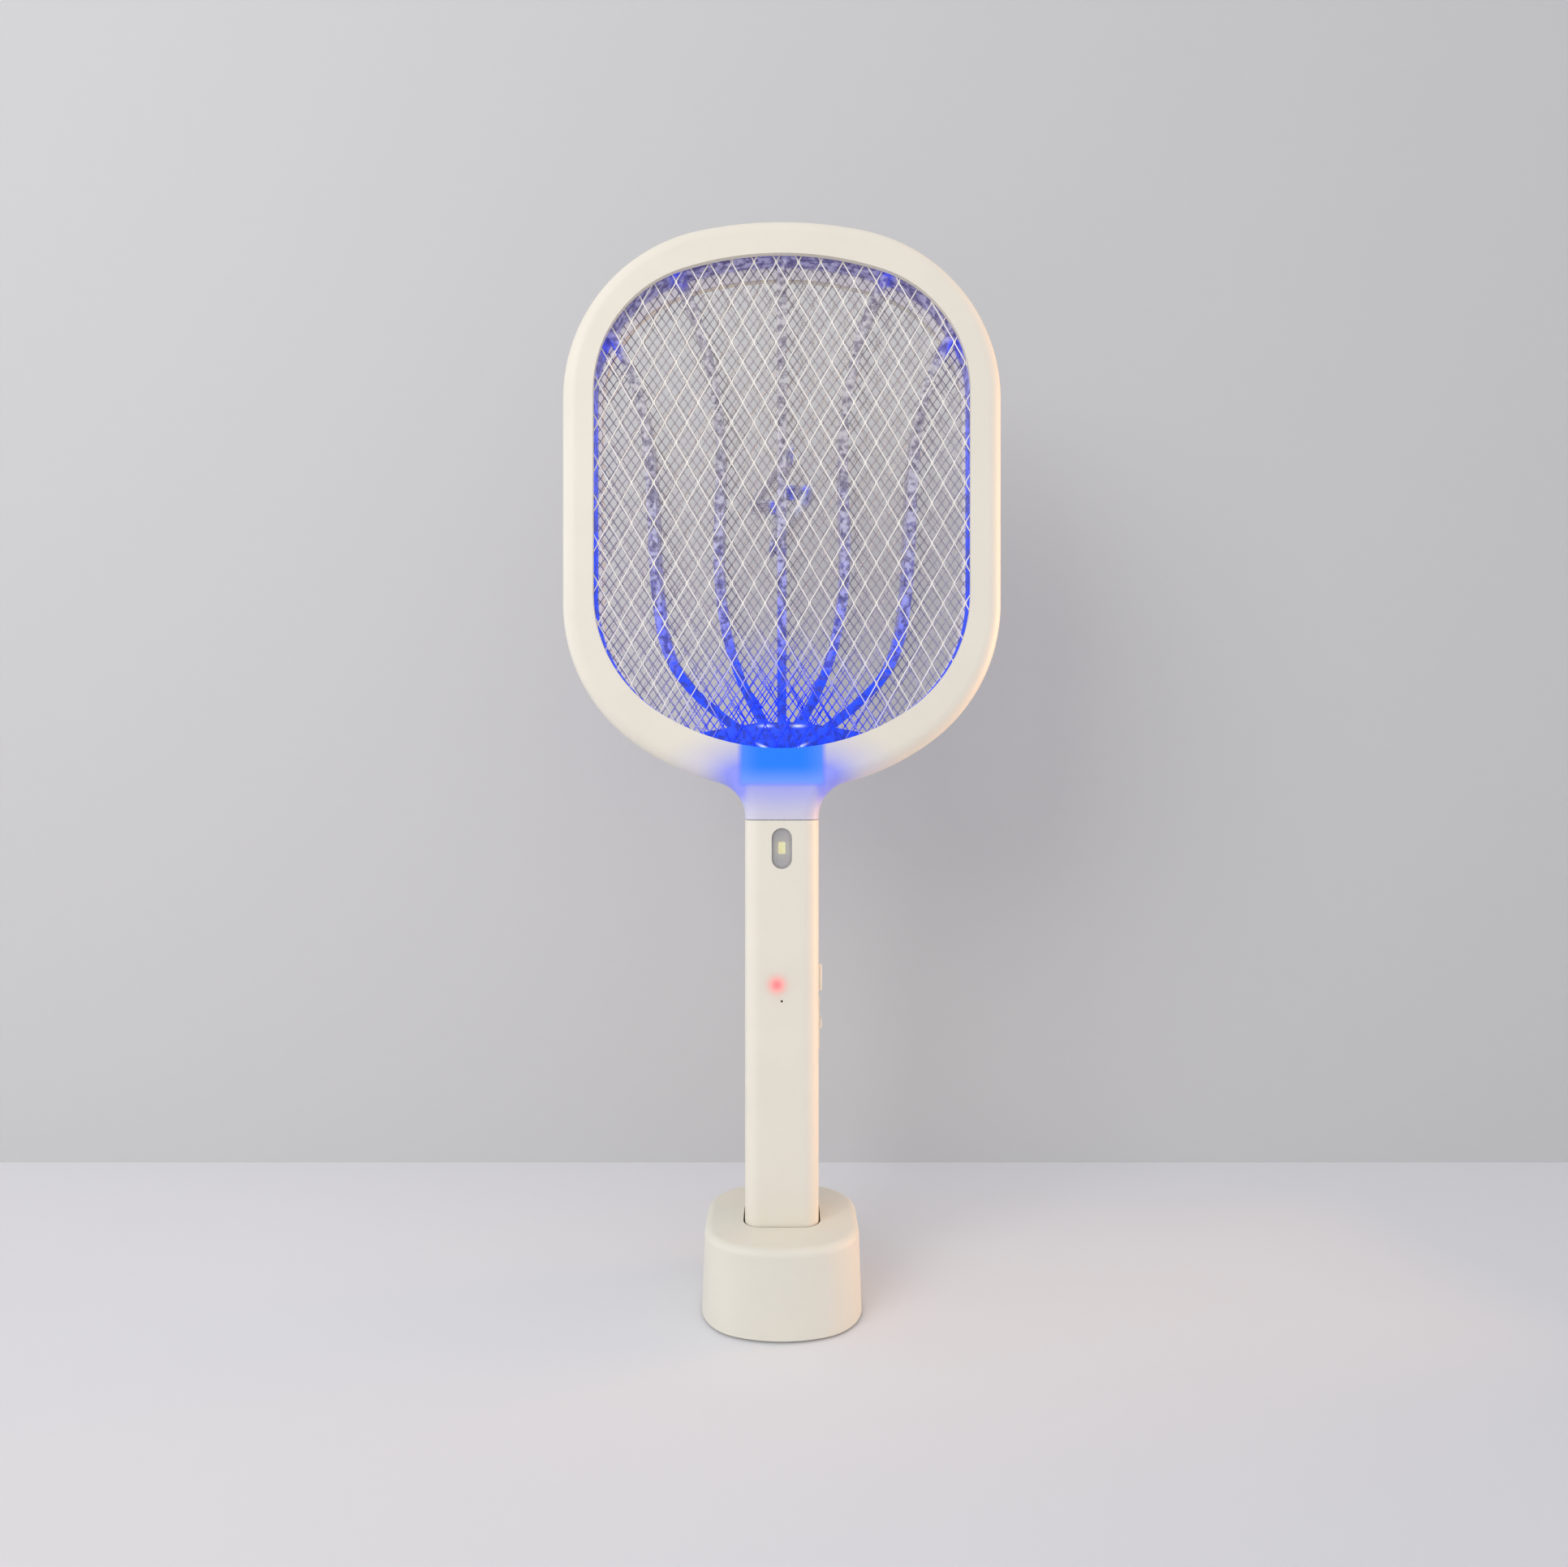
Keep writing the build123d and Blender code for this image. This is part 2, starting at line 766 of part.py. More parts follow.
with BuildPart() as capacitors:
    for z in capacitor_feet:
        span(capacitor_sides, (board_front_y - capacitor_depth, board_front_y), (z, z + capacitor_length))
    fillet(capacitors.edges().filter_by(Axis.Y), 1)
save(capacitors.part, "high_voltage_capacitors")

diode_y = board_front_y - diode_radius - 0.05
with BuildPart() as diodes:
    with Locations(*(Location((diode_x, diode_y, z), (0, 90, 0)) for z in diode_heights)):
        Cylinder(diode_radius, diode_length)
        Cylinder(diode_radius / 4, diode_length + 2)
save(diodes.part, "board_diodes")

indicator_led_front = board_front_y - indicator_led_depth
with BuildPart() as indicator_led:
    span(
        (indicator_x - indicator_led_width / 2, indicator_x + indicator_led_width / 2),
        (indicator_led_front, board_front_y),
        (indicator_z - indicator_led_width / 2, indicator_z + indicator_led_width / 2),
    )
save(indicator_led.part, "indicator_led")

guide_back_y = indicator_led_front - control_gap
with BuildPart() as indicator_guide:
    with BuildSketch(facing(guide_back_y)):
        with Locations((indicator_x, indicator_z)):
            Circle(indicator_radius)
    extrude(amount=guide_back_y + half_depth - glow_skin - control_gap)
save(indicator_guide.part, "indicator_guide")


def switch_body(name, z, length, hole, corner):
    """Switch on the right-hand edge of the main board; hole is its mouth, with rounded corners."""
    edge_x = board_width / 2
    with BuildPart() as body:
        span(
            (edge_x - switch_depth, edge_x),
            (board_front_y - switch_width, board_front_y),
            (z - length / 2, z + length / 2),
        )
        with BuildSketch(Plane.YZ.offset(edge_x - 2)):
            with Locations((0, z)):
                RectangleRounded(*hole, corner)
        extrude(amount=3, mode=Mode.SUBTRACT)
    save(body.part, name)


stem_hole = 2 * stem_radius + control_gap
switch_body(
    "push_switch_body",
    button_z,
    push_switch_length,
    (stem_hole, stem_hole + control_gap / 2),
    stem_radius,
)
switch_body(
    "slide_switch_body",
    slider_z,
    slide_switch_length,
    (actuator_size[1] + 2 * control_gap, actuator_size[2] + 2 * slider_travel + 2 * control_gap),
    control_gap,
)

# Push button and its plunger
flange_x = inner_half_width - control_gap
with BuildPart() as button:
    with BuildSketch(Plane.YZ.offset(flange_x - flange_thickness)):
        with Locations((0, button_z)):
            RectangleRounded(button_width + 2 * flange_edge, button_length + 2 * flange_edge, button_round)
    extrude(amount=flange_thickness)
    with BuildSketch(Plane.YZ.offset(flange_x)):
        with Locations((0, button_z)):
            RectangleRounded(button_width, button_length, button_round - control_gap)
    extrude(amount=half_width + button_proud - flange_x)
    fillet(button.faces().sort_by(Axis.X)[-1].edges(), 0.8)
save(button.part, "trigger_button")

with BuildPart() as plunger:
    with BuildSketch(Plane.YZ.offset(board_width / 2 - 0.4)):
        with Locations((0, button_z)):
            Circle(stem_radius)
    extrude(amount=flange_x - flange_thickness - board_width / 2 + 0.4)
save(plunger.part, "push_switch_plunger")

# Slide switch: bezel in the shells, knob in the bezel, and the switch's own slider
with BuildPart() as bezel:
    with BuildSketch(Plane.YZ.offset(half_width)):
        with Locations((0, slider_z)):
            RectangleRounded(bezel_width, bezel_length, 2)
            Rectangle(*nub_slot_size, mode=Mode.SUBTRACT)
    extrude(amount=bezel_thickness)
    with BuildSketch(Plane.YZ.offset(inner_half_width)):
        with Locations((0, slider_z)):
            RectangleRounded(*collar_size, collar_round - control_gap)
            Rectangle(*nub_slot_size, mode=Mode.SUBTRACT)
    extrude(amount=wall)
save(bezel.part, "switch_bezel")

knob_back_x = flange_x - fit_gap - flange_thickness
with BuildPart() as knob:
    with BuildSketch(Plane.YZ.offset(knob_back_x)):
        with Locations((0, slider_z)):
            Rectangle(collar_size[0], nub_slot_size[1] + 2 * slider_travel)
    extrude(amount=flange_thickness)
    with BuildSketch(Plane.YZ.offset(knob_back_x)):
        with Locations((0, slider_z)):
            Rectangle(slider_width, slider_length)
    extrude(amount=half_width + slider_proud - knob_back_x)
    ridge = knob.faces().sort_by(Axis.X)[-1]
    fillet(ridge.edges(), 0.5)
save(knob.part, "mode_slider_knob")

with BuildPart() as actuator:
    with BuildSketch(Plane.YZ.offset(knob_back_x)):
        with Locations((0, slider_z)):
            Rectangle(*actuator_size[1:])
    extrude(amount=-(knob_back_x - board_width / 2 + 1))
save(actuator.part, "slide_switch_actuator")

# Cell, its strips and the leads to the main board
with BuildPart() as cell:
    with Locations((0, 0, cell_bottom_z)):
        Cylinder(cell_radius, cell_length, align=(Align.CENTER, Align.CENTER, Align.MIN))
    fillet(cell.edges(), 0.6)
save(cell.part, "battery_cell")

with BuildPart() as strips:
    for side, z in ((-1, cell_bottom_z - cell_strip), (1, cell_bottom_z + cell_length)):
        span((side * (lead_x + 1), -side * 6), (-2, 3), (z, z + cell_strip))
save(strips.part, "battery_tabs")

leads(
    [
        [(-lead_x, lead_y, cell_bottom_z), (-lead_x, lead_y, board_bottom_z + 5)],
        [(lead_x, lead_y, cell_bottom_z + cell_length + cell_strip), (lead_x, lead_y, board_bottom_z + 5)],
    ],
    "battery_leads",
)

# Charging contacts in the end cap of the handle
with BuildPart() as carrier:
    with BuildSketch(Plane.XY.offset(handle_bottom_z)):
        RectangleRounded(
            2 * (inner_half_width - control_gap),
            2 * (inner_half_depth - control_gap),
            edge_radius - wall,
        )
    extrude(amount=carrier_thickness)
    with BuildSketch(Plane.XY.offset(handle_bottom_z)):
        with Locations(*contact_points):
            Circle(pad_radius + control_gap / 2)
    extrude(amount=pad_recess + pad_thickness, mode=Mode.SUBTRACT)
    with BuildSketch(Plane.XY.offset(handle_bottom_z)):
        with Locations(*contact_points):
            Circle(lead_radius + control_gap / 2)
    extrude(amount=carrier_thickness, mode=Mode.SUBTRACT)
save(carrier.part, "contact_carrier")

carrier_top_z = handle_bottom_z + carrier_thickness
with BuildPart() as contacts:
    with Locations(*((x, y, pad_z) for x, y in contact_points)):
        Cylinder(pad_radius, pad_thickness, align=(Align.CENTER, Align.CENTER, Align.MIN))
        Cylinder(lead_radius, carrier_top_z - pad_z, align=(Align.CENTER, Align.CENTER, Align.MIN))
save(contacts.part, "charge_contacts")

leads(
    [
        [
            (side * contact_spacing / 2, 0, carrier_top_z),
            (side * contact_spacing / 2, 0, carrier_top_z + 2.5),
            (side * lead_x, -4, carrier_top_z + 5.5),
            (side * lead_x, -4, board_bottom_z + 6),
            (side * lead_x, board_front_y - lead_radius, board_bottom_z + 12),
        ]
        for side in (-1, 1)
    ],
    "charge_leads",
)

# Base: drafted casing, well for the handle, bottom cover, weight and feet
with BuildPart() as base:
    with BuildSketch(Plane.XY.offset(base_lift)):
        make_face(base_outline.edges())
    extrude(amount=base_height - base_lift, taper=base_draft)
    fillet(base.faces().sort_by(Axis.Z)[-1].edges(), base_top_round)
    with BuildSketch(Plane.XY.offset(base_lift)):
        make_face(base_outline.grown(-base_wall).edges())
    extrude(amount=base_ceiling_z - base_lift, taper=base_draft, mode=Mode.SUBTRACT)
    with BuildSketch(Plane.XY.offset(base_ceiling_z)):
        with Locations(*base_screw_points):
            Circle(boss_radius)
    extrude(amount=-(base_ceiling_z - cover_top_z))
    with BuildSketch(Plane.XY.offset(cover_top_z)):
        with Locations(*base_screw_points):
            Circle(screw_pilot)
    extrude(amount=base_screw_length, mode=Mode.SUBTRACT)
    with BuildSketch(Plane.XY.offset(base_ceiling_z)):
        RectangleRounded(2 * well_half_width, 2 * well_half_depth, edge_radius + well_gap)
    extrude(amount=base_wall, mode=Mode.SUBTRACT)
    with BuildSketch(facing(base_width / 2 + 1)):
        with Locations((0, socket_z)):
            RectangleRounded(socket_size[0] + 2 * fit_gap, socket_size[2] + 2 * fit_gap, socket_size[2] / 2)
    extrude(amount=base_wall + 3, mode=Mode.SUBTRACT)
save(base.part, "base_shell")

with BuildPart() as liner:
    with BuildSketch(Plane.XY.offset(well_floor_z - well_floor)):
        RectangleRounded(
            2 * (well_half_width + liner_wall),
            2 * (well_half_depth + liner_wall),
            edge_radius + well_gap + liner_wall,
        )
    extrude(amount=base_ceiling_z - well_floor_z + well_floor)
    with BuildSketch(Plane.XY.offset(well_floor_z)):
        RectangleRounded(2 * well_half_width, 2 * well_half_depth, edge_radius + well_gap)
    extrude(amount=base_ceiling_z - well_floor_z, mode=Mode.SUBTRACT)
    with BuildSketch(Plane.XY.offset(well_floor_z - well_floor)):
        with Locations(*contact_points):
            Circle(barrel_radius + 0.1)
    extrude(amount=well_floor, mode=Mode.SUBTRACT)
save(liner.part, "well_liner")

foot_recess = foot_thickness - base_lift
with BuildPart() as cover:
    with BuildSketch(Plane.XY.offset(base_lift)):
        make_face(base_outline.grown(-base_wall - fit_gap).edges())
    extrude(amount=cover_thickness)
    with BuildSketch(Plane.XY.offset(base_lift)):
        with Locations(*foot_points):
            Circle(foot_radius + 0.1)
    extrude(amount=foot_recess, mode=Mode.SUBTRACT)
    with BuildSketch(Plane.XY.offset(base_lift)):
        with Locations(*base_screw_points):
            Circle(screw_pocket)
    extrude(amount=screw_head_height, mode=Mode.SUBTRACT)
    with BuildSketch(Plane.XY.offset(base_lift)):
        with Locations(*base_screw_points):
            Circle(screw_clearance)
    extrude(amount=cover_thickness, mode=Mode.SUBTRACT)
    with BuildSketch(Plane.XY.offset(cover_top_z)):
        with Locations(*post_points):
            Circle(1.8)
    extrude(amount=dock_board_z - cover_top_z)
save(cover.part, "base_bottom_cover")
screws(
    [Location((x, y, base_lift + screw_head_height)) for x, y in base_screw_points],
    base_screw_length,
    "base_screws",
)

with BuildPart() as feet:
    with Locations(*((x, y, 0) for x, y in foot_points)):
        Cylinder(foot_radius, foot_thickness, align=(Align.CENTER, Align.CENTER, Align.MIN))
    fillet(feet.faces().filter_by_position(Axis.Z, 0, 0).edges(), 0.4)
save(feet.part, "base_feet")

with BuildPart() as ballast:
    with BuildSketch(Plane.XY.offset(cover_top_z)):
        make_face(base_outline.grown(-ballast_inset).edges())
        with Locations((0, dock_board_front - 1)):
            Rectangle(dock_board_width + 2, base_width, align=(Align.CENTER, Align.MIN), mode=Mode.SUBTRACT)
        with Locations(*base_screw_points):
            Circle(boss_radius + fit_gap, mode=Mode.SUBTRACT)
    extrude(amount=ballast_thickness)
save(ballast.part, "base_ballast")

# Charging circuit in the base
with BuildPart() as dock_board:
    with BuildSketch(Plane.XY.offset(dock_board_z)):
        with Locations((0, dock_board_front)):
            Rectangle(dock_board_width, dock_board_back - dock_board_front, align=(Align.CENTER, Align.MIN))
        with Locations(*contact_points):
            Circle(barrel_radius + 0.05, mode=Mode.SUBTRACT)
    extrude(amount=board_thickness)
save(dock_board.part, "dock_board")

with BuildPart() as socket:
    with BuildSketch(facing(socket_back_y)):
        with Locations((0, socket_z)):
            RectangleRounded(socket_size[0], socket_size[2], socket_size[2] / 2 - 0.01)
    extrude(amount=socket_size[1])
    with BuildSketch(facing(socket_back_y)):
        with Locations((0, socket_z)):
            RectangleRounded(
                socket_size[0] - 2 * socket_skin,
                socket_size[2] - 2 * socket_skin,
                socket_size[2] / 2 - socket_skin - 0.01,
            )
    extrude(amount=socket_size[1] - 0.8, mode=Mode.SUBTRACT)
    span(
        (-3.3, 3.3),
        (socket_back_y - socket_size[1], socket_back_y - 1.2),
        (socket_z - 0.35, socket_z + 0.35),
    )
save(socket.part, "usb_c_socket")

# Spring pins that meet the handle's contacts
with BuildPart() as barrels:
    with Locations(*((x, y, barrel_bottom_z) for x, y in contact_points)):
        Cylinder(barrel_radius, barrel_top_z - barrel_bottom_z, align=(Align.CENTER, Align.CENTER, Align.MIN))
        with Locations((0, 0, barrel_floor)):
            Cylinder(
                barrel_bore,
                pin_shoulder_z + contact_gap - barrel_bottom_z - barrel_floor,
                align=(Align.CENTER, Align.CENTER, Align.MIN),
                mode=Mode.SUBTRACT,
            )
        Cylinder(
            pin_tip_radius + contact_gap,
            barrel_top_z - barrel_bottom_z,
            align=(Align.CENTER, Align.CENTER, Align.MIN),
            mode=Mode.SUBTRACT,
        )
save(barrels.part, "dock_pin_barrels")

for (x, y), name in zip(contact_points, ("left", "right")):
    with BuildPart() as pin:
        with Locations((x, y, pin_foot_z)):
            Cylinder(pin_radius, pin_shoulder_z - pin_foot_z, align=(Align.CENTER, Align.CENTER, Align.MIN))
            Cylinder(pin_tip_radius, pin_tip_z - pin_foot_z, align=(Align.CENTER, Align.CENTER, Align.MIN))
        fillet(pin.edges().sort_by(Axis.Z)[-1], 0.8 * pin_tip_radius)
    save(pin.part, f"dock_pin_{name}")
    with BuildPart() as spring:
        with BuildLine(Plane((x, y, spring_foot_z + spring_wire))):
            coil = Helix(spring_height / spring_turns, spring_height, barrel_bore - spring_wire - 0.1)
        with BuildSketch(Plane(coil @ 0, z_dir=coil % 0)):
            Circle(spring_wire)
        sweep(path=coil, is_frenet=True)
    save(spring.part, f"dock_spring_{name}")
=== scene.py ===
import math

import bmesh
import bpy
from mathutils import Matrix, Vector


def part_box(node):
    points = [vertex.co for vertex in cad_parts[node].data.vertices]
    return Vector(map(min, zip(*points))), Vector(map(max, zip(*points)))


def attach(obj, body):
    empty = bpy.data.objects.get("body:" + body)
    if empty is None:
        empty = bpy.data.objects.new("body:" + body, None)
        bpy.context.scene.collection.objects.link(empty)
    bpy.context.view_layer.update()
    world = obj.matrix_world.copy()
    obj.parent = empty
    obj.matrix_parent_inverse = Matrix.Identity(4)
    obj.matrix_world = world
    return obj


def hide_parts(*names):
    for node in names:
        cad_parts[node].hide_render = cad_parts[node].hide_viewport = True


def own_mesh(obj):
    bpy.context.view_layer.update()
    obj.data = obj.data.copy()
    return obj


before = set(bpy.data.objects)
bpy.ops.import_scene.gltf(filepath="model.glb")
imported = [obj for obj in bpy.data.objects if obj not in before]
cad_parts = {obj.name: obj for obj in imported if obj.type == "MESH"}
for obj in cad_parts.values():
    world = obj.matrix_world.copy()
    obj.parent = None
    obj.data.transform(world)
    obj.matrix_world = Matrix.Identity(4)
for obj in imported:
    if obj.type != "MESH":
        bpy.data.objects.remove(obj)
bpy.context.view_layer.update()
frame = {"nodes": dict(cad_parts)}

MM = 0.001
nodes = frame["nodes"]


def edge(node, axis, high):
    """One limit of a CAD node along an axis: 0 is X, 1 is Y and 2 is Z."""
    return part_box(node)[1 if high else 0][axis]


def middle(node, axis):
    return (edge(node, axis, False) + edge(node, axis, True)) / 2


HEAD_MIDDLE_Z = middle("front_spacer", 2) - 0.3 * MM
OPENING_HALF_WIDTH = edge("front_spacer", 0, True) - 5 * MM
OPENING_HALF_HEIGHT = (edge("front_spacer", 2, True) - edge("front_spacer", 2, False)) / 2 - 5 * MM
FRONT_Y = edge("handle_front_shell", 1, False)
SENSOR_Z = 141.9 * MM
SENSOR_RADIUS = 0.45 * MM
GUARD_CELL = (10.2 * MM, 18.4 * MM)
GUARD_WIRE_RADIUS = 0.31 * MM
GUARD_TOUCH = 1.4 * MM
REAR_GUARD_SHIFT = 2.2 * MM
LIVE_CELL = (4.1 * MM, 5.8 * MM)
LIVE_WIRE_RADIUS = 0.27 * MM
LIVE_TOUCH = 0.7 * MM
EDGE_RADIUS = 0.9 * MM
STAGE_REACH = 3.0
WALL_Y = 0.155
CAMERA_PLACE = (1 * MM, -0.435, 0.241)
BLACK = (0.0, 0.0, 0.0, 1.0)


# Node trees, written as arithmetic

class Number:
    """A socket that takes part in ordinary arithmetic; each operation adds a Math node."""

    def __init__(self, tree, socket):
        self.tree = tree
        self.socket = socket

    def math(self, operation, *others):
        node = self.tree.add("ShaderNodeMath", dict(enumerate((self, *others))), operation=operation)
        return self.tree.number(node)

    def __add__(self, other):
        return self.math("ADD", other)

    __radd__ = __add__

    def __mul__(self, other):
        return self.math("MULTIPLY", other)

    __rmul__ = __mul__

    def __sub__(self, other):
        return self.math("SUBTRACT", other)

    def __rsub__(self, other):
        return self * -1 + other

    def __truediv__(self, other):
        return self.math("DIVIDE", other)

    def __pow__(self, other):
        return self.math("POWER", other)

    def __abs__(self):
        return self.math("ABSOLUTE")

    def high(self, other):
        return self.math("MAXIMUM", other)

    def low(self, other):
        return self.math("MINIMUM", other)

    def rise(self, start, end):
        """0 below start and 1 above end, with a smooth step between."""
        node = self.tree.add(
            "ShaderNodeMapRange",
            {"Value": self, "From Min": start, "From Max": end},
            interpolation_type="SMOOTHSTEP",
        )
        return self.tree.number(node)

    def bell(self, width):
        """1 at zero, falling off both ways."""
        return (self * self * (-1 / width**2)).math("EXPONENT")


class Tree:
    """A node tree with one method that adds nodes."""

    def __init__(self, nodes):
        self.nodes = nodes

    def add(self, kind, inputs=None, **settings):
        node = self.nodes.nodes.new(kind)
        for name, value in settings.items():
            setattr(node, name, value)
        for key, value in (inputs or {}).items():
            if isinstance(value, Number):
                self.nodes.links.new(value.socket, node.inputs[key])
            elif isinstance(value, bpy.types.NodeSocket):
                self.nodes.links.new(value, node.inputs[key])
            else:
                node.inputs[key].default_value = value
        return node

    def number(self, node, output=0):
        return Number(self, node.outputs[output])

    def place(self):
        """X, Y and Z of the surface in the object's own coordinates."""
        coordinates = self.add("ShaderNodeTexCoord").outputs["Object"]
        split = self.add("ShaderNodeSeparateXYZ", {0: coordinates})
        return coordinates, [self.number(split, axis) for axis in range(3)]

    def noise(self, coordinates, scale, detail=2.0, roughness=0.5):
        node = self.add(
            "ShaderNodeTexNoise",
            {"Vector": coordinates, "Scale": scale, "Detail": detail, "Roughness": roughness},
        )
        return self.number(node)

    def mix(self, share, first, second):
        """Colour between two colours."""
        node = self.add("ShaderNodeMix", {0: share, 6: first, 7: second}, data_type="RGBA")
        return node.outputs[2]


def rgb(red, green, blue):
    """Linear colour from 8-bit display values."""
    def linear(value):
        value /= 255
        return value / 12.92 if value <= 0.04045 else ((value + 0.055) / 1.055) ** 2.4
    return (linear(red), linear(green), linear(blue), 1.0)


def dimmed(colour, by):
    return (*(channel * by for channel in colour[:3]), 1.0)


def material(name, **constants):
    """New material, its tree and its shader; the constants go straight on the shader's sockets."""
    made = bpy.data.materials.new(name)
    made.use_nodes = True
    tree = Tree(made.node_tree)
    shader = made.node_tree.nodes["Principled BSDF"]
    for key, value in constants.items():
        shader.inputs[key.replace("_", " ")].default_value = value
    return made, tree, shader


def link(tree, value, shader, name):
    tree.nodes.links.new(value.socket if isinstance(value, Number) else value, shader.inputs[name])


def bump(tree, shader, height, distance, strength=1.0):
    node = tree.add(
        "ShaderNodeBump",
        {"Height": height, "Distance": distance, "Strength": strength},
    )
    link(tree, node.outputs["Normal"], shader, "Normal")


# Finishes

def moulded_plastic(name, colour, roughness=0.42, grain=0.012 * MM, coat=0.0):
    """Satin moulded plastic: faint clouding of the colour, uneven gloss and a fine spark grain."""
    made, tree, shader = material(name, Specular_IOR_Level=0.45, Coat_Roughness=0.2)
    shader.inputs["Subsurface Weight"].default_value = 0.08
    shader.inputs["Subsurface Scale"].default_value = 2 * MM
    shader.inputs["Subsurface Radius"].default_value = (1.0, 0.8, 0.6)
    coordinates, _ = tree.place()
    cloud = tree.noise(coordinates, 28, 3)
    streak = tree.noise(coordinates, 210, 2)
    fine = tree.noise(coordinates, 2600, 2)
    shade = cloud.rise(0.3, 0.7) * 0.7 + streak * 0.3
    colour_socket = tree.mix(shade, dimmed(colour, 0.965), dimmed(colour, 1.01))
    link(tree, colour_socket, shader, "Base Color")
    link(tree, cloud * 0.08 + fine * 0.05 + (roughness - 0.065), shader, "Roughness")
    shader.inputs["Coat Weight"].default_value = coat
    bump(tree, shader, fine, grain, 0.35)
    return made, tree, shader, colour_socket


CREAM = rgb(236, 230, 217)


def head_plastic():
    """Cream plastic of the front frame, with the lamp's light shining through the neck painted on as a blue
    glow, and a painted blue spill around the neck.
    """
    made, tree, shader, colour = moulded_plastic("head_front_plastic", CREAM, 0.45)
    _, (x, y, z) = tree.place()
    front = 1 - y.rise(-9 * MM, -4 * MM)
    side = abs(x)
    lamp_height = z.rise(239 * MM, 242 * MM) * (1 - z.rise(262 * MM, 266 * MM))
    lamp = (1 - side.rise(17.5 * MM, 21 * MM)) * lamp_height
    # painted light: a blue-lavender spill of lamp light around the neck's front, over the neck and on its
    # flanks, mixed into the cream
    halo = ((side / (38 * MM)) ** 2 + (abs(z - 248 * MM) / (15 * MM)) ** 2).math("SQRT")
    glow_spill = (1 - halo.rise(0.3, 1.6)) * front
    neck = (1 - side.rise(16 * MM, 40 * MM)) * (1 - z.rise(244 * MM, 262 * MM))
    flank_height = z.rise(228 * MM, 238 * MM) * (1 - z.rise(244 * MM, 256 * MM))
    flank = side.rise(14 * MM, 20 * MM) * flank_height * neck
    painted_glow_tint = tree.mix((glow_spill * 0.55 + neck * 0.35 + flank * 0.5).low(1.0), colour, rgb(150, 156, 236))
    # painted light: under the painted glow the neck's front is dark navy, so the glow reads deep blue
    painted_glow_tint = tree.mix((lamp * front).low(1.0), painted_glow_tint, rgb(8, 36, 90))
    link(tree, painted_glow_tint, shader, "Base Color")
    # painted glow: emission on the frame stands in for the lamp's light coming through the neck
    glow = tree.mix(
        (z.rise(239 * MM, 250 * MM) * (1 - side.rise(8 * MM, 24 * MM) * 0.5)).low(1.0),
        rgb(120, 158, 250),
        rgb(0, 122, 255),
    )
    veil = tree.mix(lamp, rgb(70, 95, 255), glow)
    power = (lamp + (glow_spill * 0.10 + neck * 0.03 + flank * 0.12) * (1 - lamp)) * front
    link(tree, tree.mix(power.low(1.0), BLACK, veil), shader, "Emission Color")
    shader.inputs["Emission Strength"].default_value = 0.95
    return made


def handle_front_plastic():
    """Cream plastic of the handle's front, with the red indicator glowing through the thin spot."""
    made, tree, shader, colour = moulded_plastic("handle_front_plastic", CREAM, 0.45)
    _, (x, y, z) = tree.place()
    across = x - middle("indicator_guide", 0)
    up = z - middle("indicator_guide", 2)
    distance = (across * across + up * up).math("SQRT")
    front = 1 - y.rise(FRONT_Y + 1 * MM, FRONT_Y + 2 * MM)
    core = distance.bell(2.1 * MM) * front
    halo = distance.bell(3.6 * MM) * front
    hole = (x * x + (z - SENSOR_Z) ** 2).math("SQRT")
    # painted light: the indicator's red halo is mixed into the cream
    painted_glow_tint = tree.mix((halo * 0.85).low(1.0), colour, rgb(255, 110, 115))
    # painted shade: the sensor pinhole is drawn as a dark disc
    dark = 1 - hole.rise(SENSOR_RADIUS, SENSOR_RADIUS + 0.15 * MM)
    link(tree, tree.mix(dark, painted_glow_tint, rgb(60, 26, 22)), shader, "Base Color")
    glow = tree.mix(core, rgb(255, 110, 110), rgb(255, 60, 75))
    link(tree, tree.mix((core * 0.8 + halo * 0.2).low(1.0), BLACK, glow), shader, "Emission Color")
    shader.inputs["Emission Strength"].default_value = 0.75
    return made


